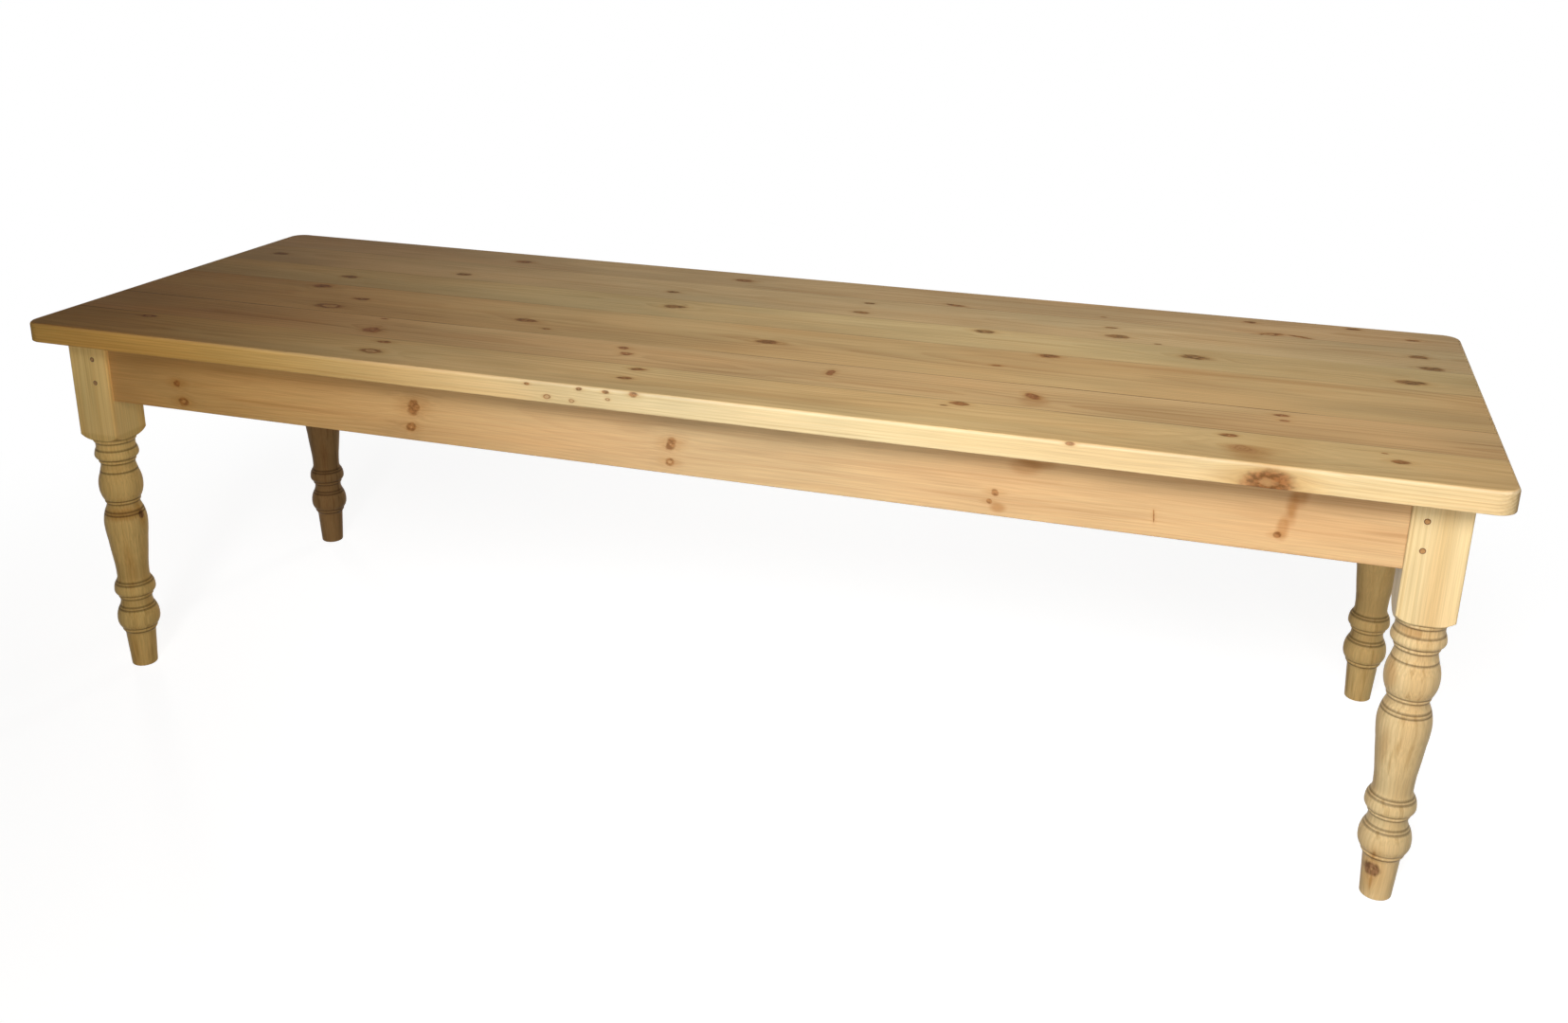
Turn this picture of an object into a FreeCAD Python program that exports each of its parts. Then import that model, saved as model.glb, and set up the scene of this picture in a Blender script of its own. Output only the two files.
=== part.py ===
import FreeCAD, Part
import math
import os
import Sketcher

# A pine farmhouse table: six-board top, four turned legs, four pegged aprons.
# Lengths are in millimetres. X runs along the table, Y from front to back and Z up.
# The origin is on the floor, under the middle of the top.
SIZES = {
    # Overall
    "table_height": 780.0,
    "table_length": 2710.0,
    # Tabletop, boards 1 to 6 from front to back
    "top_thick": 38.5,
    "board_1_width": 148.0,
    "board_2_width": 136.0,
    "board_3_width": 208.0,
    "board_4_width": 140.0,
    "board_5_width": 152.0,
    "board_6_width": 136.0,
    "top_corner": 34.0,
    "top_edge_round": 6.5,
    "top_under_round": 2.0,
    # Loose tongues between the boards
    "tongue_thick": 6.0,
    "tongue_width": 20.0,
    "tongue_stop_length": 90.0,
    # Legs
    "leg_width": 90.0,
    "leg_edge_round": 4.0,
    "end_overhang": 50.0,
    "side_overhang": 57.0,
    "block_height": 203.5,
    "line_depth": 0.7,
    "line_reach": 1.2,
    # Aprons and their tenons
    "apron_height": 130.0,
    "apron_thick": 22.0,
    "apron_setback": 8.0,
    "apron_edge_round": 2.0,
    "tenon_length": 60.0,
    "tenon_thick": 10.0,
    "tenon_shoulder": 15.0,
    "haunch_height": 30.0,
    "haunch_length": 15.0,
    # Pegs through the legs and tenons
    "peg_radius": 5.0,
    "peg_length": 46.0,
    "peg_proud": 0.6,
    "peg_bevel": 0.8,
    "peg_tip": 4.0,
    "peg_inset": 28.0,
    "peg_inset_front_left": 34.0,
    "peg_inset_front_right": 24.0,
    # Cross bearers under the top
    "bearer_width": 60.0,
    "bearer_thick": 35.0,
    "bearer_housing": 8.0,
    "bearer_edge_round": 2.0,
    # Buttons that hold the top to the aprons
    "button_width": 32.0,
    "button_length": 40.0,
    "button_thick": 22.0,
    "button_tongue": 9.0,
    "button_gap": 1.0,
    "groove_below_top": 12.0,
    # Wood screws
    "screw_head_radius": 4.4,
    "button_screw_radius": 2.2,
    "button_screw_length": 36.0,
    "bearer_screw_radius": 2.4,
    "bearer_screw_length": 54.0,
    "screw_tip": 6.0,
    "slot_width": 1.2,
    "slot_depth": 1.3,
    # Clearances
    "joint_clearance": 0.1,
    "groove_clearance": 0.3,
    "screw_clearance": 0.1,
    "overrun": 2.0,
}

# The turning from the floor up to the square block, in stretches that each start where the last one
# ends. Each row is a place on the outline: its height as a share of the turned height, its radius as
# a share of half the leg's width, and the bulge of the curve that leads up to it as a share of that
# curve's chord, hollow curves being negative.
TURNING_SHARES = {
    # Tapered ankle and its bead between two quirks
    "foot": (
        (0.0000, 0.520, 0.000),
        (0.0048, 0.578, 0.200),
        (0.1375, 0.671, 0.000),
        (0.1539, 0.738, -0.090),
        (0.1554, 0.722, 0.000),
        (0.1684, 0.727, 0.380),
        (0.1703, 0.722, 0.000),
    ),
    # Lower bulb, its neck and a bead
    "lower_bulb": (
        (0.1717, 0.825, 0.000),
        (0.2072, 0.948, 0.083),
        (0.2556, 0.812, 0.063),
        (0.2872, 0.704, -0.073),
        (0.2959, 0.716, -0.037),
        (0.2974, 0.714, 0.000),
        (0.3104, 0.722, 0.360),
        (0.3123, 0.718, 0.000),
    ),
    # Ring, then the long vase
    "vase": (
        (0.3138, 0.826, 0.000),
        (0.3355, 0.913, 0.131),
        (0.3671, 0.806, 0.072),
        (0.3894, 0.714, -0.077),
        (0.4461, 0.748, -0.012),
        (0.5502, 0.882, 0.004),
        (0.6115, 0.955, 0.016),
        (0.6710, 0.840, 0.043),
        (0.6849, 0.772, 0.000),
        (0.7007, 0.727, -0.069),
        (0.7033, 0.722, 0.000),
    ),
    # Bead, then the upper bulb and its neck
    "upper_bulb": (
        (0.7160, 0.744, 0.330),
        (0.7175, 0.800, 0.000),
        (0.7742, 0.960, 0.066),
        (0.8234, 0.850, 0.050),
        (0.8457, 0.783, 0.000),
        (0.8634, 0.750, -0.050),
        (0.8690, 0.750, 0.000),
    ),
    # Collar bead, the top ring and its cove
    "collar": (
        (0.8825, 0.757, 0.360),
        (0.8844, 0.753, 0.000),
        (0.8859, 0.858, 0.000),
        (0.9033, 0.957, 0.146),
        (0.9247, 0.892, 0.040),
        (0.9275, 0.874, 0.000),
        (0.9405, 0.858, -0.060),
        (0.9535, 0.868, -0.040),
    ),
    # Small bead, then the shoulder up to the square block
    "shoulder": (
        (0.9550, 0.886, 0.000),
        (0.9688, 0.905, 0.220),
        (0.9706, 0.900, 0.000),
        (0.9717, 0.990, 0.000),
        (1.0000, 1.427, 0.100),
    ),
}

# Fine scribed lines round the turning: height and radius shares, as above.
SCRIBED_SHARES = (
    (0.2528, 0.827),
    (0.2639, 0.762),
    (0.3606, 0.846),
    (0.3710, 0.780),
    (0.6599, 0.880),
    (0.6717, 0.835),
    (0.8346, 0.818),
)

# The two pegs of a joint, up from the apron's lower edge as shares of its height.
PEG_HEIGHT_SHARES = (0.2885, 0.6654)

# The end of a peg or screw narrows to this share of its radius.
TIP_SHARE = 0.35

BOARD_COUNT = 6
INNER_BOARDS = range(1, BOARD_COUNT - 1)
BUTTONS_PER_SIDE = 5

# Along the long aprons, as shares of half their length: from one button to the next, and from the
# middle to each bearer.
BUTTON_SPACING_SHARE = 0.428
BEARER_PLACE_SHARE = 0.354

doc = FreeCAD.newDocument("farmhouse_table")
sheet = doc.addObject("Spreadsheet::Sheet", "Sizes")
for row, (name, value) in enumerate(SIZES.items(), start=1):
    sheet.set(f"A{row}", name)
    sheet.set(f"B{row}", str(value))
    sheet.setAlias(f"B{row}", name)
doc.recompute()


class Size:
    """A length worked out from the sheet: its value, and the formula that keeps it bound."""

    def __init__(self, value, formula):
        self.value = value
        self.formula = formula

    def combine(self, other, value, sign):
        return Size(value, f"({self.formula} {sign} {Size.of(other).formula})")

    @staticmethod
    def of(thing):
        return thing if isinstance(thing, Size) else Size(float(thing), repr(float(thing)))

    def __add__(self, other):
        return self.combine(other, self.value + Size.of(other).value, "+")

    def __sub__(self, other):
        return self.combine(other, self.value - Size.of(other).value, "-")

    def __mul__(self, other):
        return self.combine(other, self.value * Size.of(other).value, "*")

    def __truediv__(self, other):
        return self.combine(other, self.value / Size.of(other).value, "/")

    def __neg__(self):
        return Size(-self.value, f"(0 - {self.formula})")


ZERO = Size(0.0, "0")


def size(name):
    """A cell of the sheet as a length."""
    return Size(SIZES[name], f"Sizes.{name}")


def total(sizes):
    """The sum of several lengths."""
    result = ZERO
    for item in sizes:
        result = result + item
    return result


def bind(thing, prop, length):
    """Bind one property of an object to a length worked out from the sheet."""
    thing.setExpression(prop, length.formula)


def place(thing, x, y, z, turn=0.0, tilt=None):
    """Put an object at x, y, z, turned about Z by turn degrees after an optional tilt."""
    rotation = FreeCAD.Rotation(FreeCAD.Vector(0, 0, 1), turn)
    if tilt is not None:
        rotation = rotation * tilt
    thing.Placement = FreeCAD.Placement(FreeCAD.Vector(x.value, y.value, z.value), rotation)
    for axis, length in (("x", x), ("y", y), ("z", z)):
        bind(thing, f"Placement.Base.{axis}", length)


def new_body(name):
    """A new sub-part, whose label is also the name of its file."""
    body = doc.addObject("PartDesign::Body", name)
    body.Label = name
    return body


def new_sketch(body, name, role, offset=ZERO):
    """A sketch on one of the body's own origin planes, moved along that plane's normal."""
    sketch = body.newObject("Sketcher::SketchObject", name)
    plane = next(item for item in body.Origin.OriginFeatures if item.Role == role)
    sketch.AttachmentSupport = [(plane, "")]
    sketch.MapMode = "FlatFace"
    if offset is not ZERO:
        bind(sketch, "AttachmentOffset.Base.z", offset)
    return sketch


def pin_points(sketch, pins):
    """Hold points of a sketch: each pin is a geometry, one of its ends, and x, y from the origin."""
    constraints = []
    lengths = []
    for geometry, end, x, y in pins:
        for kind, length, axis in (("DistanceX", x, -2), ("DistanceY", y, -1)):
            if length is ZERO:
                constraints.append(Sketcher.Constraint("PointOnObject", geometry, end, axis))
            else:
                constraints.append(Sketcher.Constraint(kind, -1, 1, geometry, end, length.value))
            lengths.append(length)
    indices = sketch.addConstraint(constraints)
    for index, length in zip(indices, lengths):
        if length is not ZERO:
            bind(sketch, f"Constraints[{index}]", length)


def outline(sketch, points):
    """A closed outline. Each point is x, y and the bulge share of the curve that leads to it."""
    first = sketch.GeometryCount
    count = len(points)
    stops = [FreeCAD.Vector(x.value, y.value, 0) for x, y, _ in points]
    curves = []
    crowns = []
    for index in range(count):
        following = (index + 1) % count
        start = points[index]
        end = points[following]
        if end[2]:
            x = (start[0] + end[0]) / 2 + (end[1] - start[1]) * end[2]
            y = (start[1] + end[1]) / 2 + (start[0] - end[0]) * end[2]
            crown = FreeCAD.Vector(x.value, y.value, 0)
            curves.append(Part.Arc(stops[index], crown, stops[following]))
            crowns.append((first + index, x, y, crown))
        else:
            curves.append(Part.LineSegment(stops[index], stops[following]))
    sketch.addGeometry(curves, False)

    joins = []
    pins = []
    for index in range(count):
        following = (index + 1) % count
        # An arc's ends swap names when it runs clockwise, so its ends are found by place.
        start_name = end_named(sketch, first + index, stops[index])
        next_name = end_named(sketch, first + following, stops[following])
        pins.append((first + index, start_name, points[index][0], points[index][1]))
        joins.append(
            Sketcher.Constraint(
                "Coincident", first + index, 3 - start_name, first + following, next_name
            )
        )
    for arc, x, y, crown in crowns:
        mark = sketch.addGeometry(Part.Point(crown), True)
        pins.append((mark, 1, x, y))
        joins.append(Sketcher.Constraint("PointOnObject", mark, 1, arc))
    sketch.addConstraint(joins)
    pin_points(sketch, pins)


def end_named(sketch, geometry, place_at):
    """Which end of a sketch's line or arc lies at a place: 1 is its start and 2 its end."""
    gaps = [(sketch.getPoint(geometry, end) - place_at).Length for end in (1, 2)]
    return 1 + gaps.index(min(gaps))


def rectangle(sketch, left, low, right, high):
    """A closed rectangle between two corners."""
    outline(sketch, [(left, low, 0), (right, low, 0), (right, high, 0), (left, high, 0)])


def circle(sketch, x, y, radius):
    """A circle about x, y."""
    centre = FreeCAD.Vector(x.value, y.value, 0)
    ring = sketch.addGeometry(Part.Circle(centre, FreeCAD.Vector(0, 0, 1), radius.value), False)
    pin_points(sketch, [(ring, 3, x, y)])
    index = sketch.addConstraint(Sketcher.Constraint("Radius", ring, radius.value))
    bind(sketch, f"Constraints[{index}]", radius)


def pad(body, name, sketch, length, reverse=False):
    """Add a sketch's outline to the body, over a length."""
    feature = body.newObject("PartDesign::Pad", name)
    feature.Profile = sketch
    feature.Reversed = reverse
    feature.Length = length.value
    bind(feature, "Length", length)
    return feature


def pocket(body, name, sketch, depth, reverse=False):
    """Cut a sketch's outline out of the body."""
    feature = body.newObject("PartDesign::Pocket", name)
    feature.Profile = sketch
    feature.Reversed = reverse
    feature.Length = depth.value
    bind(feature, "Length", depth)
    return feature


def groove(body, name, sketch):
    """Turn a sketch's outline round the body's Z axis and cut it away."""
    feature = body.newObject("PartDesign::Groove", name)
    feature.Profile = sketch
    feature.ReferenceAxis = (sketch, ["V_Axis"])
    feature.Angle = 360.0
    return feature


def edges_where(feature, wanted):
    """The names of a feature's edges that pass a test on their box."""
    doc.recompute()
    return [
        f"Edge{number}"
        for number, edge in enumerate(feature.Shape.Edges, start=1)
        if wanted(edge.BoundBox)
    ]


def dress(body, kind, name, base, edges, amount):
    """Round or bevel some edges of a feature."""
    feature = body.newObject(f"PartDesign::{kind}", name)
    feature.Base = (base, edges)
    prop = "Radius" if kind == "Fillet" else "Size"
    bind(feature, prop, amount)
    return feature


def near(one, other):
    """Whether two lengths are the same place."""
    return math.isclose(one, other, abs_tol=SIZES["joint_clearance"] / 10)


# Sizes that several pieces share
half_length = size("table_length") / 2
board_widths = [size(f"board_{number}_width") for number in range(1, BOARD_COUNT + 1)]
top_width = total(board_widths)
half_width = top_width / 2
leg_length = size("table_height") - size("top_thick")
half_leg = size("leg_width") / 2
leg_x = half_length - size("end_overhang") - half_leg
leg_y = half_width - size("side_overhang") - half_leg
turned_height = leg_length - size("block_height")
apron_low = leg_length - size("apron_height")
long_apron_half = leg_x - half_leg
end_apron_half = leg_y - half_leg
peg_heights = [size("apron_height") * share for share in PEG_HEIGHT_SHARES]
button_spacing = long_apron_half * BUTTON_SPACING_SHARE
bearer_place = long_apron_half * BEARER_PLACE_SHARE
# From the table's middle to an apron's outer and inner faces
long_apron_out = leg_y + half_leg - size("apron_setback")
end_apron_out = leg_x + half_leg - size("apron_setback")
long_apron_in = long_apron_out - size("apron_thick")
end_apron_in = end_apron_out - size("apron_thick")
# The tenon lies in the middle of the apron's thickness
cheek = (size("apron_thick") - size("tenon_thick")) / 2
button_reach = size("button_gap") + size("button_length") / 2


def board_low(index):
    """The front edge of a board, from the table's middle."""
    return total(board_widths[:index]) - half_width


def board_middle(index):
    """The centre line of a board, from the table's middle."""
    return board_low(index) + board_widths[index] / 2


def button_places():
    """Where the buttons' screws go: name, x, y and the turn of the button."""
    places = []
    middle = (BUTTONS_PER_SIDE - 1) / 2
    for side, sign, turn in (("front", -1, 0.0), ("back", 1, 180.0)):
        y = (long_apron_in - button_reach) * sign
        for number in range(BUTTONS_PER_SIDE):
            x = button_spacing * (number - middle)
            places.append((f"button_{side}_{number + 1}", x, y, turn))
    for side, sign, turn in (("left", -1, -90.0), ("right", 1, 90.0)):
        x = (end_apron_in - button_reach) * sign
        for number, board in enumerate((INNER_BOARDS[0], INNER_BOARDS[-1])):
            places.append((f"button_{side}_{number + 1}", x, board_middle(board), turn))
    return places


def bearer_screw_places():
    """Where the bearers' screws go: x, y, one per inner board through each bearer."""
    return [
        (bearer_place * sign, board_middle(index))
        for sign in (-1, 1)
        for index in INNER_BOARDS
    ]


def board_holds(index, y):
    """Whether a place across the table lies in a board."""
    low = board_low(index).value
    return low < y.value < low + board_widths[index].value


def make_board(index):
    """One board of the top, with its front edge on local Y zero and its underside on Z zero."""
    body = new_body(f"top_board_{index + 1}")
    width = board_widths[index]
    thick = size("top_thick")
    front = index == 0
    back = index == BOARD_COUNT - 1
    plan = new_sketch(body, "plan", "XY_Plane")
    rectangle(plan, -half_length, ZERO, half_length, width)
    feature = pad(body, "blank", plan, thick)

    # A joint's edge stays square; the table's outer edges and corners are rounded.
    def outer(y):
        return (front and near(y, 0)) or (back and near(y, width.value))

    if front or back:
        corners = edges_where(
            feature,
            lambda box: near(box.ZLength, thick.value) and outer(box.Center.y),
        )
        feature = dress(body, "Fillet", "corners", feature, corners, size("top_corner"))
    for name, level, radius in (
        ("rounded_edge", thick, size("top_edge_round")),
        ("eased_underside", ZERO, size("top_under_round")),
    ):
        rims = edges_where(
            feature,
            lambda box: near(box.ZMin, level.value)
            and near(box.ZLength, 0)
            and not near(box.XLength, 2 * half_length.value),
        )
        feature = dress(body, "Fillet", name, feature, rims, radius)

    # Stopped grooves for the loose tongues
    reach = half_length - size("tongue_stop_length") + size("groove_clearance")
    middle = thick / 2
    half_groove = size("tongue_thick") / 2 + size("joint_clearance")
    depth = size("tongue_width") / 2 + size("groove_clearance")
    for name, shown, offset, reverse in (
        ("front_groove", not front, ZERO, False),
        ("back_groove", not back, -width, True),
    ):
        if shown:
            sketch = new_sketch(body, f"{name}_outline", "XZ_Plane", offset)
            rectangle(sketch, -reach, middle - half_groove, reach, middle + half_groove)
            pocket(body, name, sketch, depth, reverse)

    # Blind holes for the screws that come up through the buttons and bearers
    for name, places, radius, depth in (
        (
            "button_holes",
            [(x, y) for _, x, y, _ in button_places()],
            size("button_screw_radius"),
            size("button_screw_length") - size("button_thick"),
        ),
        (
            "bearer_holes",
            bearer_screw_places(),
            size("bearer_screw_radius"),
            size("bearer_screw_length") - size("bearer_thick"),
        ),
    ):
        held = [(x, y) for x, y in places if board_holds(index, y)]
        if held:
            sketch = new_sketch(body, f"{name}_outline", "XY_Plane")
            for x, y in held:
                circle(sketch, x, y - board_low(index), radius + size("screw_clearance"))
            pocket(body, name, sketch, depth + size("groove_clearance"), True)
    place(body, ZERO, board_low(index), leg_length)
    return body


def make_tongue(index):
    """The loose tongue between one board and the next."""
    tongue = doc.addObject("Part::Box", f"top_tongue_{index + 1}")
    tongue.Label = f"top_tongue_{index + 1}"
    reach = half_length - size("tongue_stop_length")
    bind(tongue, "Length", reach * 2)
    bind(tongue, "Width", size("tongue_width"))
    bind(tongue, "Height", size("tongue_thick"))
    low = leg_length + (size("top_thick") - size("tongue_thick")) / 2
    place(tongue, -reach, board_low(index + 1) - size("tongue_width") / 2, low)
    return tongue


def make_leg(name, x_sign, y_sign, turn, inset_x, inset_y):
    """A leg about its own axis, with mortises in its local -X and +Y faces."""
    body = new_body(name)
    plan = new_sketch(body, "square", "XY_Plane")
    rectangle(plan, -half_leg, -half_leg, half_leg, half_leg)
    feature = pad(body, "blank", plan, leg_length)
    arrises = edges_where(feature, lambda box: near(box.ZLength, leg_length.value))
    dress(body, "Fillet", "arrises", feature, arrises, size("leg_edge_round"))

    # Haunched mortises, both at the aprons' setback from the leg's outer faces
    near_cheek = size("apron_setback") + cheek - size("joint_clearance")
    far_cheek = near_cheek + size("tenon_thick") + size("joint_clearance") * 2
    low = apron_low + size("tenon_shoulder") - size("joint_clearance")
    high = leg_length - size("haunch_height") + size("joint_clearance")
    deep = size("tenon_length") + size("groove_clearance")
    stub = size("haunch_length") + size("groove_clearance")
    for side, role, near_side, far_side in (
        ("x", "YZ_Plane", near_cheek - half_leg, far_cheek - half_leg),
        ("y", "XZ_Plane", half_leg - far_cheek, half_leg - near_cheek),
    ):
        mortise = new_sketch(body, f"mortise_{side}_outline", role, -half_leg)
        rectangle(mortise, near_side, low, far_side, high)
        pocket(body, f"mortise_{side}", mortise, deep, True)
        haunch = new_sketch(body, f"haunch_{side}_outline", role, -half_leg)
        rectangle(haunch, near_side, high, far_side, leg_length)
        pocket(body, f"haunch_{side}", haunch, stub, True)

    # Peg holes: the tenon in the -X mortise is pegged from -Y, the one in +Y from +X.
    for side, role, along in (
        ("x", "XZ_Plane", inset_x - half_leg),
        ("y", "YZ_Plane", half_leg - inset_y),
    ):
        holes = new_sketch(body, f"peg_holes_{side}_outline", role, half_leg)
        for height in peg_heights:
            circle(holes, along, apron_low + height, size("peg_radius") + size("joint_clearance"))
        pocket(body, f"peg_holes_{side}", holes, size("peg_length") + size("groove_clearance"))

    # Everything outside the turned outline is cut from the square blank.
    waste = half_leg * TURNING_SHARES["shoulder"][-1][1] + size("overrun")
    start = []
    for stretch, rows in TURNING_SHARES.items():
        points = list(start)
        for height, radius, bulge in rows:
            points.append((half_leg * radius, turned_height * height if height else ZERO, bulge))
        start = [(points[-1][0], points[-1][1], 0)]
        corners = [(waste, points[-1][1], 0), (waste, points[0][1], 0)]
        profile = new_sketch(body, f"{stretch}_outline", "XZ_Plane")
        outline(profile, points + corners)
        groove(body, f"{stretch}_turning", profile)

    lines = new_sketch(body, "scribed_outline", "XZ_Plane")
    for height, radius in SCRIBED_SHARES:
        z = turned_height * height
        surface = half_leg * radius
        spread = size("line_depth") + size("line_reach")
        outline(
            lines,
            [
                (surface - size("line_depth"), z, 0),
                (surface + size("line_reach"), z - spread, 0),
                (surface + size("line_reach"), z + spread, 0),
            ],
        )
    groove(body, "scribed_lines", lines)
    place(body, leg_x * x_sign, leg_y * y_sign, ZERO, turn)
    return body


def make_apron(name, half, x, y, turn, insets, bearers):
    """An apron with its outer face on local Y zero, its lower edge on Z zero, tenoned both ends."""
    body = new_body(name)
    tall = size("apron_height")
    thick = size("apron_thick")
    face = new_sketch(body, "face", "XZ_Plane")
    rectangle(face, -half, ZERO, half, tall)
    feature = pad(body, "board", face, thick, True)
    arrises = edges_where(
        feature,
        lambda box: near(box.ZMax, 0) and near(box.XLength, 2 * half.value),
    )
    dress(body, "Fillet", "eased_edges", feature, arrises, size("apron_edge_round"))

    shoulder = size("tenon_shoulder")
    high = tall - size("haunch_height")
    tenons = new_sketch(body, "tenon_outline", "XZ_Plane", -cheek)
    for sign in (-1, 1):
        root = half * sign
        tip = (half + size("tenon_length")) * sign
        haunch = (half + size("haunch_length")) * sign
        outline(
            tenons,
            [
                (root, shoulder, 0),
                (tip, shoulder, 0),
                (tip, high, 0),
                (haunch, high, 0),
                (haunch, tall, 0),
                (root, tall, 0),
            ],
        )
    pad(body, "tenons", tenons, size("tenon_thick"), True)

    holes = new_sketch(body, "peg_holes_outline", "XZ_Plane")
    for sign, inset in zip((-1, 1), insets):
        for height in peg_heights:
            radius = size("peg_radius") + size("joint_clearance")
            circle(holes, (half + inset) * sign, height, radius)
    pocket(body, "peg_holes", holes, thick)

    lip = tall - size("groove_below_top")
    floor = tall - size("button_thick") - size("groove_clearance")
    slot = new_sketch(body, "button_groove_outline", "XZ_Plane", -thick)
    rectangle(slot, -half, floor, half, lip)
    pocket(body, "button_groove", slot, size("button_tongue") + size("groove_clearance"), True)

    if bearers:
        housing = new_sketch(body, "bearer_housing_outline", "XZ_Plane", -thick)
        half_bearer = size("bearer_width") / 2 + size("joint_clearance")
        low = tall - size("bearer_thick") - size("joint_clearance")
        for sign in (-1, 1):
            middle = bearer_place * sign
            rectangle(housing, middle - half_bearer, low, middle + half_bearer, tall)
        depth = size("bearer_housing") + size("joint_clearance")
        pocket(body, "bearer_housings", housing, depth, True)
    place(body, x, y, apron_low, turn)
    return body


def make_peg(name, x, y, z, turn):
    """A peg driven from local -Y towards +Y, its face a little proud of the leg."""
    radius = size("peg_radius")
    bevel = size("peg_bevel")
    tip = size("peg_tip")
    shank = size("peg_length") + size("peg_proud") - bevel - tip
    parts = [
        make_cone(f"{name}_face", radius - bevel, radius, bevel, ZERO),
        make_cylinder(f"{name}_shank", radius, shank, bevel),
        make_cone(f"{name}_tip", radius, radius * TIP_SHARE, tip, bevel + shank),
    ]
    peg = doc.addObject("Part::MultiFuse", name)
    peg.Shapes = parts
    place(peg, x, y, z, turn, FreeCAD.Rotation(FreeCAD.Vector(1, 0, 0), -90))
    return peg


def make_cone(name, low_radius, high_radius, height, z):
    """A cone about Z."""
    cone = doc.addObject("Part::Cone", name)
    bind(cone, "Radius1", low_radius)
    bind(cone, "Radius2", high_radius)
    bind(cone, "Height", height)
    bind(cone, "Placement.Base.z", z)
    return cone


def make_cylinder(name, radius, height, z):
    """A cylinder about Z."""
    cylinder = doc.addObject("Part::Cylinder", name)
    bind(cylinder, "Radius", radius)
    bind(cylinder, "Height", height)
    bind(cylinder, "Placement.Base.z", z)
    return cylinder


def make_leg_pegs(name, x_sign, y_sign, long_inset):
    """The four pegs of one leg: two through the long apron's tenon, two through the end apron's."""
    pegs = []
    proud = size("peg_proud")
    for number, height in enumerate(peg_heights, start=1):
        z = apron_low + height
        x = (long_apron_half + long_inset) * x_sign
        y = (leg_y + half_leg + proud) * y_sign
        pegs.append(make_peg(f"{name}_long_{number}", x, y, z, 90.0 + 90.0 * y_sign))
        x = (leg_x + half_leg + proud) * x_sign
        y = (end_apron_half + size("peg_inset")) * y_sign
        pegs.append(make_peg(f"{name}_end_{number}", x, y, z, 90.0 * x_sign))
    return group(name, pegs)


def group(name, members):
    """Several separate solids under one name."""
    compound = doc.addObject("Part::Compound", name)
    compound.Label = name
    compound.Links = members
    return compound


def make_bearer(name, sign):
    """A cross bearer between the long aprons, with its underside on local Z zero."""
    body = new_body(name)
    half_wide = size("bearer_width") / 2
    thick = size("bearer_thick")
    reach = long_apron_in + size("bearer_housing")
    plan = new_sketch(body, "plan", "XY_Plane")
    rectangle(plan, -half_wide, -reach, half_wide, reach)
    feature = pad(body, "blank", plan, thick)
    arrises = edges_where(
        feature,
        lambda box: near(box.ZMax, 0) and near(box.YLength, 2 * reach.value),
    )
    dress(body, "Fillet", "eased_edges", feature, arrises, size("bearer_edge_round"))
    holes = new_sketch(body, "screw_holes_outline", "XY_Plane")
    for index in INNER_BOARDS:
        radius = size("bearer_screw_radius") + size("screw_clearance")
        circle(holes, ZERO, board_middle(index), radius)
    feature = pocket(body, "screw_holes", holes, thick, True)
    countersink(body, feature, size("bearer_screw_radius"))
    place(body, bearer_place * sign, ZERO, leg_length - thick)
    return body


def countersink(body, feature, radius):
    """Bevel the lower rims of the screw holes to take the screws' heads."""
    rims = edges_where(
        feature,
        lambda box: near(box.ZMax, 0)
        and near(box.XLength, box.YLength)
        and box.XLength < 4 * radius.value,
    )
    dress(body, "Chamfer", "countersinks", feature, rims, size("screw_head_radius") - radius)


def make_button(name, x, y, turn):
    """A button about its screw, with its tongue towards local -Y and its underside on Z zero."""
    body = new_body(name)
    half = size("button_length") / 2
    tip = -(half + size("button_gap") + size("button_tongue"))
    lip = size("button_thick") - size("groove_below_top")
    side = new_sketch(body, "side", "YZ_Plane")
    outline(
        side,
        [
            (tip, ZERO, 0),
            (half, ZERO, 0),
            (half, size("button_thick"), 0),
            (-half, size("button_thick"), 0),
            (-half, lip, 0),
            (tip, lip, 0),
        ],
    )
    block = body.newObject("PartDesign::Pad", "block")
    block.Profile = side
    block.SideType = "Symmetric"
    bind(block, "Length", size("button_width"))
    hole = new_sketch(body, "screw_hole_outline", "XY_Plane")
    circle(hole, ZERO, ZERO, size("button_screw_radius") + size("screw_clearance"))
    feature = pocket(body, "screw_hole", hole, size("button_thick"), True)
    countersink(body, feature, size("button_screw_radius"))
    place(body, x, y, leg_length - size("button_thick"), turn)
    return body


def make_screw(name, radius, length, x, y, z):
    """A countersunk slotted screw that points up, with its head's face at z."""
    head = size("screw_head_radius")
    tip = size("screw_tip")
    parts = [
        make_cone(f"{name}_head", head, radius, head - radius, ZERO),
        make_cylinder(f"{name}_shank", radius, length - tip - (head - radius), head - radius),
        make_cone(f"{name}_tip", radius, radius * TIP_SHARE, tip, length - tip),
    ]
    fused = doc.addObject("Part::MultiFuse", f"{name}_solid")
    fused.Shapes = parts
    slot = doc.addObject("Part::Box", f"{name}_slot")
    bind(slot, "Length", head * 2)
    bind(slot, "Width", size("slot_width"))
    bind(slot, "Height", size("slot_depth"))
    place(slot, -head, -(size("slot_width") / 2), ZERO)
    screw = doc.addObject("Part::Cut", name)
    screw.Base = fused
    screw.Tool = slot
    place(screw, x, y, z)
    return screw


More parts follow.
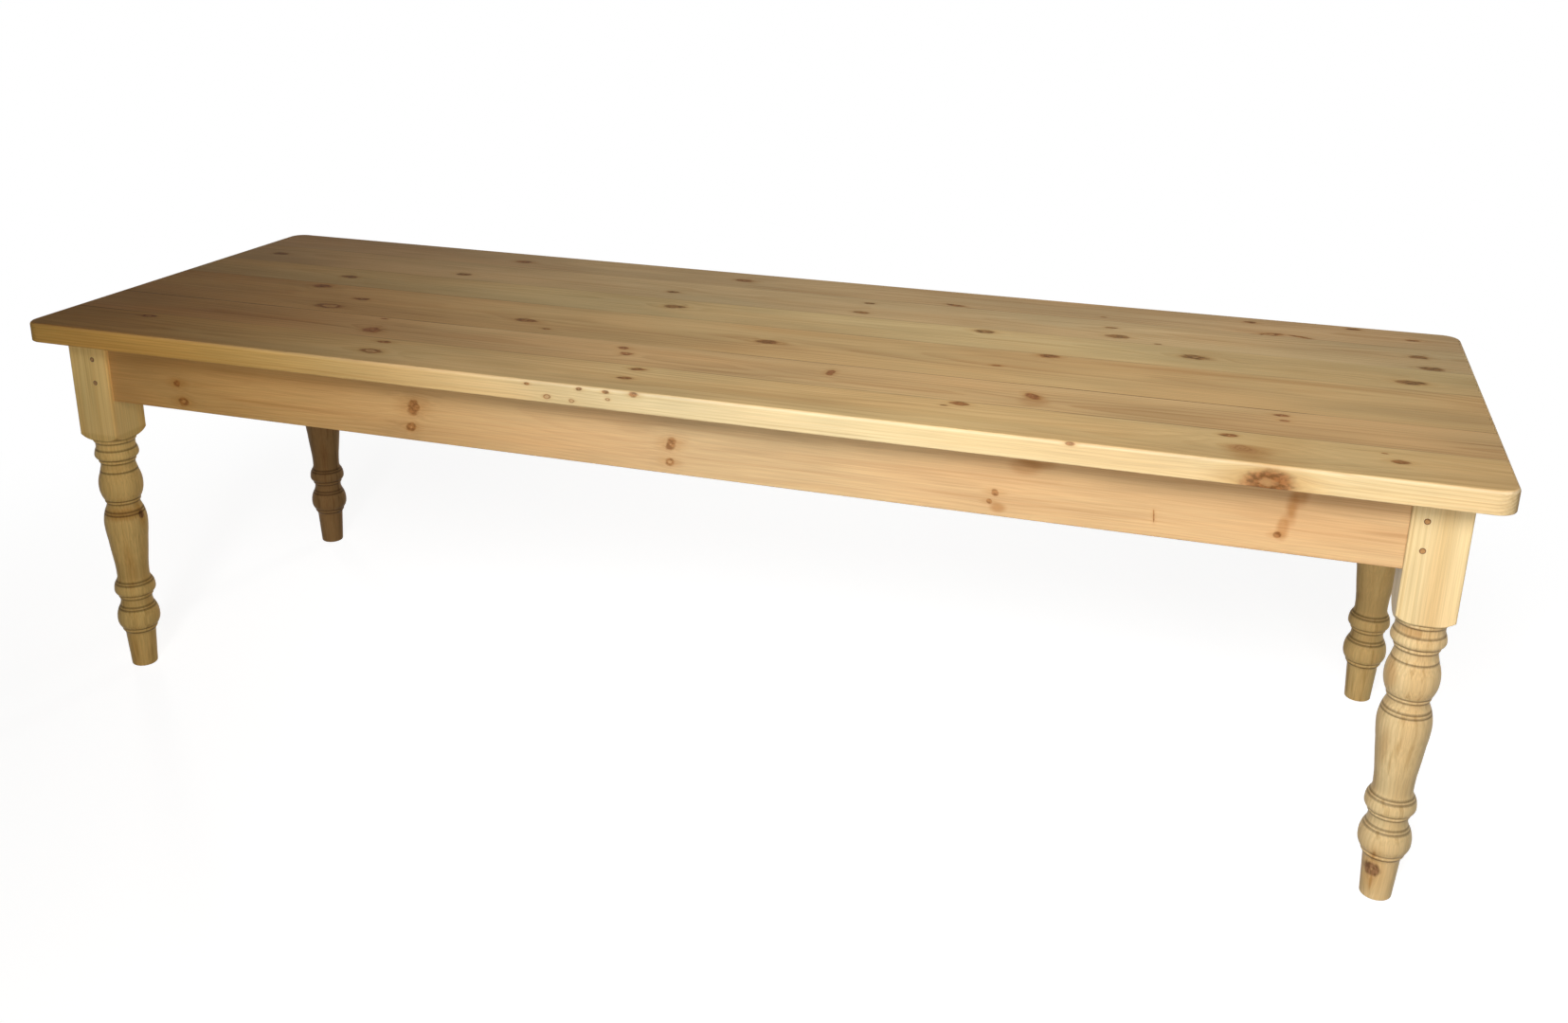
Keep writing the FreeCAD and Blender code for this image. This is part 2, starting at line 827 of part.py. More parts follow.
def make_table():
    """Every sub-part of the table."""
    parts = [make_board(index) for index in range(BOARD_COUNT)]
    parts += [make_tongue(index) for index in range(BOARD_COUNT - 1)]

    inset = size("peg_inset")
    left = size("peg_inset_front_left")
    right = size("peg_inset_front_right")
    # Legs turn by quarter turns, so a long apron meets the -X mortise or the +Y one by turns.
    parts.append(make_leg("leg_front_right", 1, -1, 0.0, right, inset))
    parts.append(make_leg("leg_front_left", -1, -1, -90.0, inset, left))
    parts.append(make_leg("leg_back_right", 1, 1, 90.0, inset, inset))
    parts.append(make_leg("leg_back_left", -1, 1, 180.0, inset, inset))

    long_half = long_apron_half
    end_half = end_apron_half
    plain = (inset, inset)
    parts.append(make_apron("apron_front", long_half, ZERO, -long_apron_out, 0.0, (left, right), True))
    parts.append(make_apron("apron_back", long_half, ZERO, long_apron_out, 180.0, plain, True))
    parts.append(make_apron("apron_left", end_half, -end_apron_out, ZERO, -90.0, plain, False))
    parts.append(make_apron("apron_right", end_half, end_apron_out, ZERO, 90.0, plain, False))

    parts.append(make_leg_pegs("pegs_front_left", -1, -1, left))
    parts.append(make_leg_pegs("pegs_front_right", 1, -1, right))
    parts.append(make_leg_pegs("pegs_back_left", -1, 1, inset))
    parts.append(make_leg_pegs("pegs_back_right", 1, 1, inset))

    parts.append(make_bearer("bearer_left", -1))
    parts.append(make_bearer("bearer_right", 1))

    screws = []
    for name, x, y, turn in button_places():
        parts.append(make_button(name, x, y, turn))
        radius = size("button_screw_radius")
        length = size("button_screw_length")
        screws.append(make_screw(f"{name}_screw", radius, length, x, y, leg_length - size("button_thick")))
    parts.append(group("button_screws", screws))

    screws = []
    for number, (x, y) in enumerate(bearer_screw_places(), start=1):
        radius = size("bearer_screw_radius")
        length = size("bearer_screw_length")
        z = leg_length - size("bearer_thick")
        screws.append(make_screw(f"bearer_screw_{number}", radius, length, x, y, z))
    parts.append(group("bearer_screws", screws))
    return parts


def check_document(parts):
    """Stop if any object failed, any cut took nothing away, or any sub-part has no valid shape."""
    for thing in doc.Objects:
        if "Invalid" in thing.State or "Error" in thing.State:
            raise RuntimeError(f"{thing.Label}: {thing.State}")
        if thing.TypeId in ("PartDesign::Pocket", "PartDesign::Groove"):
            if thing.Shape.Volume >= thing.BaseFeature.Shape.Volume:
                raise RuntimeError(f"{thing.Label}: it cuts nothing")
    for part in parts:
        if part.Shape.isNull() or not part.Shape.isValid():
            raise RuntimeError(f"{part.Label}: its shape is not valid")


table = make_table()
doc.recompute()
check_document(table)
os.makedirs("parts", exist_ok=True)
for part in table:
    part.Shape.exportStep(os.path.join("parts", f"{part.Label}.step"))
    print(part.Label, len(part.Shape.Solids), round(part.Shape.Volume))
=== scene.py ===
import math

import bpy
from mathutils import Matrix, Vector

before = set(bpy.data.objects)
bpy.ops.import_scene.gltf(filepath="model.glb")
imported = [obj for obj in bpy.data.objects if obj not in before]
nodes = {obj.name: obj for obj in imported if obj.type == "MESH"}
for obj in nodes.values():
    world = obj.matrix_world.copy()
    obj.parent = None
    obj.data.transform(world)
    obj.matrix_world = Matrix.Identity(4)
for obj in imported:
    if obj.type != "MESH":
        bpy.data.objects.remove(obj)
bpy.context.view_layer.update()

# The pieces' places and lengths are in millimetres. The floor's, the lamps' and the camera's are in metres.
MM = 0.001
WHITE = (1.0, 1.0, 1.0, 1.0)
BUMP_HEIGHT = 0.4


def in_metres(lengths):
    return tuple(length * MM for length in lengths)


def linear(red, green, blue):
    """A colour of the screen, 0 to 255, as linear light."""
    def channel(value):
        share = value / 255
        return share / 12.92 if share <= 0.04045 else ((share + 0.055) / 1.055) ** 2.4

    return (channel(red), channel(green), channel(blue), 1.0)


# Node helpers
class Net:
    """The nodes of one material, world or group. A value is a socket, a number or a tuple."""

    def __init__(self, tree):
        self.tree = tree
        self.tree.nodes.clear()

    def node(self, kind, **settings):
        made = self.tree.nodes.new(kind)
        for name, value in settings.items():
            setattr(made, name, value)
        return made

    def feed(self, socket, value):
        if isinstance(value, bpy.types.NodeSocket):
            self.tree.links.new(value, socket)
        else:
            socket.default_value = value

    def math(self, operation, *values, clamp=False):
        made = self.node("ShaderNodeMath", operation=operation, use_clamp=clamp)
        for socket, value in zip(made.inputs, values):
            self.feed(socket, value)
        return made.outputs[0]

    def vector(self, operation, *values, scale=None):
        made = self.node("ShaderNodeVectorMath", operation=operation)
        for socket, value in zip(made.inputs, values):
            self.feed(socket, value)
        if scale is not None:
            self.feed(made.inputs["Scale"], scale)
        return made.outputs["Value" if operation in ("LENGTH", "DOT_PRODUCT") else "Vector"]

    def step(self, value, low, high, out_low=0.0, out_high=1.0):
        """A smooth step between two values, which may run downwards."""
        made = self.node("ShaderNodeMapRange", interpolation_type="SMOOTHSTEP")
        for name, given in (
            ("Value", value),
            ("From Min", low),
            ("From Max", high),
            ("To Min", out_low),
            ("To Max", out_high),
        ):
            self.feed(made.inputs[name], given)
        return made.outputs["Result"]

    def noise(self, point, pitch, detail=2.0, rough=0.5):
        """Noise that repeats about as often in a metre as the pitch says for each axis."""
        made = self.node("ShaderNodeTexNoise")
        self.feed(made.inputs["Vector"], self.vector("MULTIPLY", point, pitch))
        made.inputs["Scale"].default_value = 1.0
        made.inputs["Detail"].default_value = detail
        made.inputs["Roughness"].default_value = rough
        return made.outputs["Fac"]

    def mix(self, share, one, other, blend="MIX"):
        made = self.node("ShaderNodeMix", data_type="RGBA", blend_type=blend)
        self.feed(made.inputs["Factor"], share)
        self.feed(made.inputs["A"], one)
        self.feed(made.inputs["B"], other)
        return made.outputs["Result"]

    def tint(self, colour, tone, share=None):
        """The colour multiplied by a tone, everywhere or by a share."""
        tinted = self.mix(1.0, colour, tone, "MULTIPLY")
        return tinted if share is None else self.mix(share, colour, tinted)

    def choose(self, share, one, other):
        made = self.node("ShaderNodeMix", data_type="FLOAT")
        self.feed(made.inputs[0], share)
        self.feed(made.inputs[2], one)
        self.feed(made.inputs[3], other)
        return made.outputs[0]

    def ramp(self, value, stops):
        """A curve through stops of place and grey level."""
        made = self.node("ShaderNodeValToRGB")
        self.feed(made.inputs["Fac"], value)
        elements = made.color_ramp.elements
        while len(elements) < len(stops):
            elements.new(0.5)
        for element, (place, grey) in zip(elements, stops):
            element.position = place
            element.color = (grey, grey, grey, 1.0)
        return made.outputs["Color"]

    def split(self, vector):
        made = self.node("ShaderNodeSeparateXYZ")
        self.feed(made.inputs[0], vector)
        return made.outputs

    def join(self, x, y, z):
        made = self.node("ShaderNodeCombineXYZ")
        for socket, value in zip(made.inputs, (x, y, z)):
            self.feed(socket, value)
        return made.outputs[0]

    def preset(self, kind, **constants):
        """A shader or bump node with numbers and colours that are the same all over the surface."""
        made = self.node(kind)
        for name, value in constants.items():
            made.inputs[name.replace("_", " ")].default_value = value
        return made

    def mix_shaders(self, share, one, other):
        made = self.node("ShaderNodeMixShader")
        for socket, value in zip(made.inputs, (share, one.outputs[0], other.outputs[0])):
            self.feed(socket, value)
        return made

    def bump(self, shader, height, strength):
        made = self.preset("ShaderNodeBump", Strength=strength, Distance=BUMP_HEIGHT * MM)
        self.feed(made.inputs["Height"], height)
        self.feed(shader.inputs["Normal"], made.outputs[0])

    def show(self, shader, output="ShaderNodeOutputMaterial"):
        self.feed(self.node(output).inputs["Surface"], shader.outputs[0])


def new_material(name):
    material = bpy.data.materials.new(name)
    material.use_nodes = True
    return material, Net(material.node_tree)


def frame_point(net):
    """The shaded point's place in the frame, with the table at rest. It rides with its piece."""
    return net.node("ShaderNodeTexCoord").outputs["Object"]


def dress(name, material):
    """Give a node of the frame its material."""
    for slot in nodes[name].material_slots:
        slot.material = material


# The wood's patterns: how often each repeats in a metre, along the grain, across it and through it.
PITCH = {
    "knot_outline": (55.0, 90.0, 90.0),
    "knot_mottle": (110.0, 170.0, 170.0),
    "pith_sway": (0.9, 1.6, 1.6),
    "ring_unevenness": (1.5, 26.0, 26.0),
    "ring_presence": (1.1, 9.0, 9.0),
    "streak": (0.8, 34.0, 34.0),
    "band": (0.7, 7.0, 7.0),
    "thread": (1.6, 120.0, 120.0),
    "trace": (1.9, 52.0, 52.0),
    "tint": (2.6, 6.5, 6.5),
    "blotch": (2.2, 8.0, 8.0),
    "fibre": (9.0, 640.0, 640.0),
    "pores": (14.0, 900.0, 900.0),
    "joint_wear": (3.2, 1.0, 1.0),
}

# One knot
KNOT_INPUTS = (
    ("Point", "Vector"),
    ("Wobble", "Float"),
    ("Centre", "Vector"),
    ("Axis", "Vector"),
    ("Radius", "Float"),
    ("Stretch", "Float"),
    ("Tone", "Float"),
    ("Stain", "Float"),
    # What the knots before it gave
    ("Shift So Far", "Vector"),
    ("Depth So Far", "Float"),
    ("Tone So Far", "Float"),
    ("Stain So Far", "Float"),
)
KNOT_OUTPUTS = (("Shift", "Vector"), ("Depth", "Float"), ("Tone", "Float"), ("Stain", "Float"))
# The disturbed grain reaches further along the board than across it.
REACH_ALONG = (0.34, 1.0, 1.0)
# How hard a knot pushes the grain aside, and what keeps that push finite at its middle.
PUSH, PUSH_SOFTNESS = -0.85, 0.25
# Where the stain round a knot ends and where it is full, in radii.
STAIN_END, STAIN_FULL = 2.1, 0.4
# A knot with a larger radius than this has a smoother outline for its size.
CALM_RADIUS = 9.0
# How far an outline wobbles, in radii.
KNOT_WOBBLE = 1.3
# A depth outside every knot. Depth counts radii from a knot's middle.
NO_KNOT = 50.0


def make_knot_group():
    """A branch through the wood: it pushes the grain aside, stains round it and shows its own rings."""
    group = bpy.data.node_groups.new("knot", "ShaderNodeTree")
    for direction, sockets in (("INPUT", KNOT_INPUTS), ("OUTPUT", KNOT_OUTPUTS)):
        for name, kind in sockets:
            group.interface.new_socket(name, in_out=direction, socket_type=f"NodeSocket{kind}")
    net = Net(group)
    given = net.node("NodeGroupInput").outputs
    away = net.vector("SUBTRACT", given["Point"], given["Centre"])
    along = net.vector("DOT_PRODUCT", away, given["Axis"])
    off = net.vector("SUBTRACT", away, net.vector("SCALE", given["Axis"], scale=along))

    wide = net.vector("MULTIPLY", off, REACH_ALONG)
    reach = net.math("DIVIDE", net.vector("LENGTH", wide), given["Radius"])
    push = net.math("ADD", net.math("MULTIPLY", reach, reach), PUSH_SOFTNESS)
    shift = net.vector("SCALE", off, scale=net.math("DIVIDE", PUSH, push))
    stain = net.math("MULTIPLY", net.step(reach, STAIN_END, STAIN_FULL), given["Stain"])

    outline = net.vector("MULTIPLY", off, net.join(given["Stretch"], 1.0, 1.0))
    depth = net.math("DIVIDE", net.vector("LENGTH", outline), given["Radius"])
    calm = net.math("MINIMUM", net.math("DIVIDE", CALM_RADIUS * MM, given["Radius"]), 1.0)
    depth = net.math("ADD", depth, net.math("MULTIPLY", given["Wobble"], calm))
    nearer = net.math("LESS_THAN", depth, given["Depth So Far"])

    out = net.node("NodeGroupOutput").inputs
    net.feed(out["Shift"], net.vector("ADD", shift, given["Shift So Far"]))
    net.feed(out["Depth"], net.math("MINIMUM", depth, given["Depth So Far"]))
    net.feed(out["Tone"], net.choose(nearer, given["Tone So Far"], given["Tone"]))
    net.feed(out["Stain"], net.math("MAXIMUM", stain, given["Stain So Far"]))
    return group


KNOT_GROUP = make_knot_group()


def follow_knots(net, point, knots, stretch):
    """Every knot of a piece in turn. Returns the grain's shift and the knots' depth, tone and stain."""
    so_far = {"Shift": (0.0, 0.0, 0.0), "Depth": NO_KNOT, "Tone": 0.0, "Stain": 0.0}
    if not knots:
        return so_far.values()
    grit = net.noise(point, PITCH["knot_outline"], 2.5)
    wobble = net.math("MULTIPLY", net.math("SUBTRACT", grit, 0.5), KNOT_WOBBLE)
    for centre, axis, radius, tone, stain in knots:
        made = net.node("ShaderNodeGroup", node_tree=KNOT_GROUP)
        given = {
            "Point": point,
            "Wobble": wobble,
            "Centre": in_metres(centre),
            "Axis": tuple(Vector(axis).normalized()),
            "Radius": radius * MM,
            "Stretch": stretch,
            "Tone": tone,
            "Stain": stain,
        }
        given.update((f"{name} So Far", value) for name, value in so_far.items())
        for name, value in given.items():
            net.feed(made.inputs[name], value)
        so_far = {name: made.outputs[name] for name in so_far}
    return so_far.values()


def face_knots(rows, face, size=1.0):
    """Knots that come out of one face of a piece.

    A row is a knot's place along and across the grain, radius, lean along and across, tone, which is the
    reach of its pale middle, and stain.
    """
    return [
        ((along, across, face), (lean_along, lean_across, 1.0), size * radius, tone, stain)
        for along, across, radius, lean_along, lean_across, tone, stain in rows
    ]


# Wood
# Which world axes a piece's grain coordinates take: along the grain, across its face, through it.
GRAIN = {"x_flat": "XYZ", "x_upright": "XZY", "y_flat": "YXZ", "y_upright": "YZX", "z": "ZXY"}
# How far a seed of 1 moves the patterns, in metres.
SEED_STRIDE = (3.7, 1.3, 2.1)
# Noise stays within about a quarter of its middle, so four times it reaches a whole sway.
SWAY_GAIN = 4
# How far their unevenness moves the rings, in rings.
RING_UNEVENNESS = 1.7
# How dark a growth ring is across its width, up to its line of latewood and past it.
RING_PROFILE = ((0.0, 0.25), (0.10, 0.0), (0.45, 0.08), (0.86, 0.9), (0.95, 1.0), (1.0, 0.25))
# Rings inside a knot, in radians per radius.
KNOT_RING_RATE = 13.0
KNOT_CORE, KNOT_CORE_RING = linear(192, 152, 104), linear(138, 102, 62)
# How far the unevenness of the grain frays a patch, in reaches.
PATCH_FRAY = 1.2
# Half the width of the line between two boards, where it fades out and where it is full.
JOINT_FADE, JOINT_FULL = 2.2, 0.4
# Where the left end's tone is full and where it is gone, on flat and on upright faces.
FLAT_DRIFT, UPRIGHT_DRIFT = (-1350, -250), (-1100, 100)

# Tones that multiply the wood's own colour
RESIN_TINT = (0.80, 0.66, 0.50, 1.0)
PATCH_TINT = (0.72, 0.55, 0.40, 1.0)
TRACE_TINT = (0.78, 0.72, 0.64, 1.0)
WARM_TINT, COOL_TINT = (1.015, 0.985, 0.95, 1.0), (0.985, 1.0, 0.99, 1.0)
END_GRAIN_TINT = (0.66, 0.58, 0.50, 1.0)
# A painted highlight for the upper arris
ARRIS_HIGHLIGHT_TINT = (1.10, 1.13, 1.25, 1.0)
# Colours that take its place
JOINT_COLOUR = linear(92, 62, 34)
# Dark lines in the quirks, partly dirt and partly painted shade
QUIRK_DIRT_AND_SHADE_COLOUR = linear(62, 40, 20)
# Dark necks of the legs, partly grime and partly painted shade
NECK_DIRT_AND_SHADE_COLOUR = linear(104, 74, 40)
UNSTAINED = linear(222, 190, 148)

# The turned legs: heights of the quirks, grooves cut by the lathe and darkened with dirt and painted shade
QUIRKS = (
    83.6, 92.0, 136.0, 142.0, 160.0, 168.4, 194.0, 199.6, 355.0,
    361.4, 378.4, 385.6, 449.0, 467.5, 476.2, 498.0, 513.4, 522.4,
)
QUIRK_REACH = 2.5
QUIRK_STRENGTH = 0.9
# A quirk takes three stops, and a ramp holds 32.
QUIRKS_PER_RAMP = 9
# How far the ramps reach past the last quirk
RAMP_MARGIN = 8.0
# Where the radius is small, above the foot, the necks darken: partly grime and partly painted shade.
NECK_DARKENING_START, NECK_DARKENING_FULL, NECK_DIRT_AND_SHADE = 36.5, 32.0, 0.13
FOOT_END, NECKS_START = 76.0, 90.0
# The turning ends and the square block starts.
BLOCK_START, TURNING_END = 542.0, 534.0


def growth_rings(net, local, bent, bent_local, pith, spacing, sway, strength, pale, late):
    """Rings about a wandering pith. Returns their colour and their unevenness."""
    slow = net.math("SUBTRACT", net.noise(local, PITCH["pith_sway"]), 0.5)
    offsets = []
    for place, middle, reach in zip(list(net.split(bent))[1:], pith, sway):
        offset = net.math("SUBTRACT", place, middle * MM)
        offsets.append(net.math("ADD", offset, net.math("MULTIPLY", slow, reach * SWAY_GAIN * MM)))
    ring = net.vector("LENGTH", net.join(0.0, *offsets))
    uneven = net.noise(bent_local, PITCH["ring_unevenness"])
    count = net.math("DIVIDE", ring, spacing * MM)
    count = net.math("ADD", count, net.math("MULTIPLY", uneven, RING_UNEVENNESS))
    latewood = net.ramp(net.math("FRACT", count), RING_PROFILE)
    presence = net.noise(local, PITCH["ring_presence"], 1.0)
    presence = net.step(presence, 0.30, 0.72, strength * 0.35, strength * 1.25)
    return net.mix(net.math("MULTIPLY", latewood, presence, clamp=True), pale, late), uneven


def add_streaks(net, colour, local, bent_local, strength, late, warm):
    """Long streaks and threads of darker, warmer wood, then a slow tint."""
    streak = net.noise(bent_local, PITCH["streak"], 3.0, 0.55)
    colour = net.mix(net.step(streak, 0.42, 0.70, 0.0, strength), colour, warm)
    band = net.noise(local, PITCH["band"])
    colour = net.mix(net.step(band, 0.44, 0.66, 0.0, 0.25), colour, warm)
    thread = net.noise(bent_local, PITCH["thread"])
    colour = net.mix(net.step(thread, 0.56, 0.72, 0.0, strength), colour, late)
    trace = net.noise(bent_local, PITCH["trace"], 1.0)
    colour = net.mix(net.step(trace, 0.69, 0.80, 0.0, 0.42), colour, net.tint(late, TRACE_TINT))
    slow = net.noise(local, PITCH["tint"], 1.5)
    return net.tint(colour, net.mix(net.step(slow, 0.38, 0.62), WARM_TINT, COOL_TINT))


def add_fibres(net, colour, local, fibre):
    """Light and dark fibres, in blotches that are lighter or darker as a whole."""
    blotch = net.step(net.noise(local, PITCH["blotch"]), 0.3, 0.7, -0.10, 0.10)
    shade = net.math("ADD", net.step(fibre, 0.25, 0.75, 0.90, 1.08), blotch)
    return net.tint(colour, net.join(shade, shade, shade))


def add_knots(net, colour, point, depth, tone, stain, heart):
    """The knots' mottled wood and ringed pale middles, and the resin stain round them."""
    colour = net.tint(colour, RESIN_TINT, stain)
    mottle = net.noise(point, PITCH["knot_mottle"])
    inside = net.mix(net.step(mottle, 0.35, 0.65), linear(*heart[0]), linear(*heart[1]))
    rings = net.math("SINE", net.math("MULTIPLY", depth, KNOT_RING_RATE))
    core = net.mix(net.step(rings, -0.2, 0.9, 0.0, 0.35), KNOT_CORE, KNOT_CORE_RING)
    inside = net.mix(net.step(net.math("SUBTRACT", depth, tone), -0.12, 0.18), core, inside)
    return net.mix(net.step(depth, 1.25, 0.70, 0.0, 0.86), colour, inside)


def add_patches(net, colour, point, uneven, patches):
    """Darker, redder places: centre, reach along, across and through the grain, and strength."""
    for centre, reach, strength in patches:
        gap = net.vector("SUBTRACT", point, in_metres(centre))
        gap = net.vector("LENGTH", net.vector("DIVIDE", gap, in_metres(reach)))
        gap = net.math("ADD", gap, net.math("MULTIPLY", net.math("SUBTRACT", uneven, 0.5), PATCH_FRAY))
        share = net.math("MULTIPLY", net.step(gap, 1.1, 0.3), strength)
        colour = net.tint(colour, PATCH_TINT, share)
    return colour


def add_joint_lines(net, colour, axes, local, joints):
    """Thin dark lines, worn in places, where one board meets the next."""
    for place, weight in joints:
        gap = net.math("ABSOLUTE", net.math("SUBTRACT", axes["Y"], place * MM))
        worn = net.step(net.noise(local, PITCH["joint_wear"]), 0.38, 0.60, 0.15, weight)
        line = net.math("MULTIPLY", net.step(gap, JOINT_FADE * MM, JOINT_FULL * MM), worn)
        colour = net.mix(line, colour, JOINT_COLOUR)
    return colour


def add_turning_tones_and_shade(net, colour, axes, centre, turned):
    """Dirt and painted shade in a leg's quirks and necks, and the darker stain of turned wood."""
    top = max(QUIRKS) + RAMP_MARGIN
    height = net.math("DIVIDE", axes["Z"], top * MM)
    for first in range(0, len(QUIRKS), QUIRKS_PER_RAMP):
        stops = []
        for quirk in QUIRKS[first:first + QUIRKS_PER_RAMP]:
            for place, grey in ((quirk - QUIRK_REACH, 0.0), (quirk, 1.0), (quirk + QUIRK_REACH, 0.0)):
                stops.append((place / top, grey))
        # A dark line in each quirk, partly dirt and partly painted shade
        quirk_dirt_and_shade = net.math("MULTIPLY", net.ramp(height, stops), QUIRK_STRENGTH)
        colour = net.mix(quirk_dirt_and_shade, colour, QUIRK_DIRT_AND_SHADE_COLOUR)
    off_axis = net.vector("SUBTRACT", net.join(axes["X"], axes["Y"], 0.0), (*in_metres(centre), 0.0))
    radius = net.vector("LENGTH", off_axis)
    # Darkening in the necks, partly grime and partly painted shade
    neck_dirt_and_shade = net.step(radius, NECK_DARKENING_START * MM, NECK_DARKENING_FULL * MM, 0.0, NECK_DIRT_AND_SHADE)
    above_foot = net.step(axes["Z"], FOOT_END * MM, NECKS_START * MM)
    colour = net.mix(net.math("MULTIPLY", neck_dirt_and_shade, above_foot), colour, NECK_DIRT_AND_SHADE_COLOUR)
    if turned:
        below_block = net.step(axes["Z"], BLOCK_START * MM, TURNING_END * MM)
        colour = net.tint(colour, turned, below_block)
    return colour


def add_tone_drift_and_highlight(net, colour, axes, normal, flat_left, upright_left, upright_right):
    """Tones that change along the table, partly painted light, and a painted highlight on the upper arris.
    """
    # Partly the wood's tone, partly painted light: darker at the dim left end, paler edges at the right
    flat = net.mix(net.step(axes["X"], *in_metres(FLAT_DRIFT)), flat_left, WHITE)
    upright = net.mix(net.step(axes["X"], *in_metres(UPRIGHT_DRIFT)), upright_left, upright_right)
    side_on = net.step(net.math("ABSOLUTE", normal["Z"]), 0.985, 0.60)
    colour = net.tint(colour, net.mix(side_on, flat, upright))
    # A painted highlight along the upper arris
    arris = net.math("MULTIPLY", net.step(normal["Z"], 0.15, 0.5), net.step(normal["Z"], 0.985, 0.85))
    return net.tint(colour, ARRIS_HIGHLIGHT_TINT, arris)


def wood(
    name,
    grain,
    tones,
    pith,
    spacing,
    sway,
    seed,
    knots=(),
    patches=(),
    stretch=0.85,
    heart=((152, 116, 70), (104, 76, 46)),
    ring_strength=0.5,
    streak_strength=0.5,
    joints=(),
    drift=None,
    raw_below=False,
    turning=None,
    rough=0.5,
    gloss=0.01,
):
    """Sawn pine: growth rings about a wandering pith, knots, streaks and fine fibres, under wax.

    tones: pale wood, latewood and warm streaks. pith: its place across and through the grain. spacing:
    of the rings. sway: of the pith, across and through. stretch: below 1, knots are longer along the
    grain. heart: the two tones of the knots. joints: place across the table and darkness of the lines
    between boards. drift: tones of the left end of flat faces, and of both ends of upright ones, partly the
    wood's own and partly painted light; it also brings a painted highlight on the upper arris.
    raw_below: faces that look down were never stained. turning: a leg's axis and the tone of its turned
    part, or None where that is as the block's.
    """
    material, net = new_material(name)
    axes = dict(zip("XYZ", net.split(frame_point(net))))
    order = GRAIN[grain]
    point = net.join(*(axes[letter] for letter in order))
    local = net.vector("ADD", point, tuple(seed * stride for stride in SEED_STRIDE))
    shift, depth, tone, stain = follow_knots(net, point, knots, stretch)
    bent = net.vector("ADD", point, shift)
    bent_local = net.vector("ADD", local, shift)
    pale, late, warm = (linear(*screen_tone) for screen_tone in tones)

    colour, uneven = growth_rings(
        net, local, bent, bent_local, pith, spacing, sway, ring_strength, pale, late
    )
    colour = add_streaks(net, colour, local, bent_local, streak_strength, late, warm)
    fibre = net.noise(bent_local, PITCH["fibre"])
    colour = add_fibres(net, colour, local, fibre)
    if knots:
        colour = add_knots(net, colour, point, depth, tone, stain, heart)
    colour = add_patches(net, colour, point, uneven, patches)
    colour = add_joint_lines(net, colour, axes, local, joints)
    if turning:
        colour = add_turning_tones_and_shade(net, colour, axes, *turning)
    normal = dict(zip("XYZ", net.split(net.node("ShaderNodeNewGeometry").outputs["Normal"])))
    if grain != "z":
        end = net.step(net.math("ABSOLUTE", normal[order[0]]), 0.75, 0.98)
        colour = net.tint(colour, END_GRAIN_TINT, end)
    if drift:
        colour = add_tone_drift_and_highlight(net, colour, axes, normal, *drift)
    if raw_below:
        below = net.step(normal["Z"], -0.5, -0.9)
        colour = net.mix(below, colour, net.mix(0.55, colour, UNSTAINED))

    shader = net.preset("ShaderNodeBsdfPrincipled", IOR=1.46, Specular_IOR_Level=gloss)
    net.feed(shader.inputs["Base Color"], colour)
    net.feed(shader.inputs["Roughness"], net.step(fibre, 0.2, 0.8, rough + 0.05, rough - 0.05))
    net.bump(shader, net.noise(local, PITCH["pores"]), 0.22)
    net.show(shader)
    return material


# The tabletop
TOP_FACE, TOP_HALF_WIDTH = 780.0, 460.0
# Where one board meets the next, front to back, and how dark the line is there
JOINTS = ((-312.0, 0.65), (-176.0, 0.95), (32.0, 0.45), (172.0, 0.35), (324.0, 0.45))
BOARD_EDGES = (-TOP_HALF_WIDTH, *(place for place, _ in JOINTS), TOP_HALF_WIDTH)
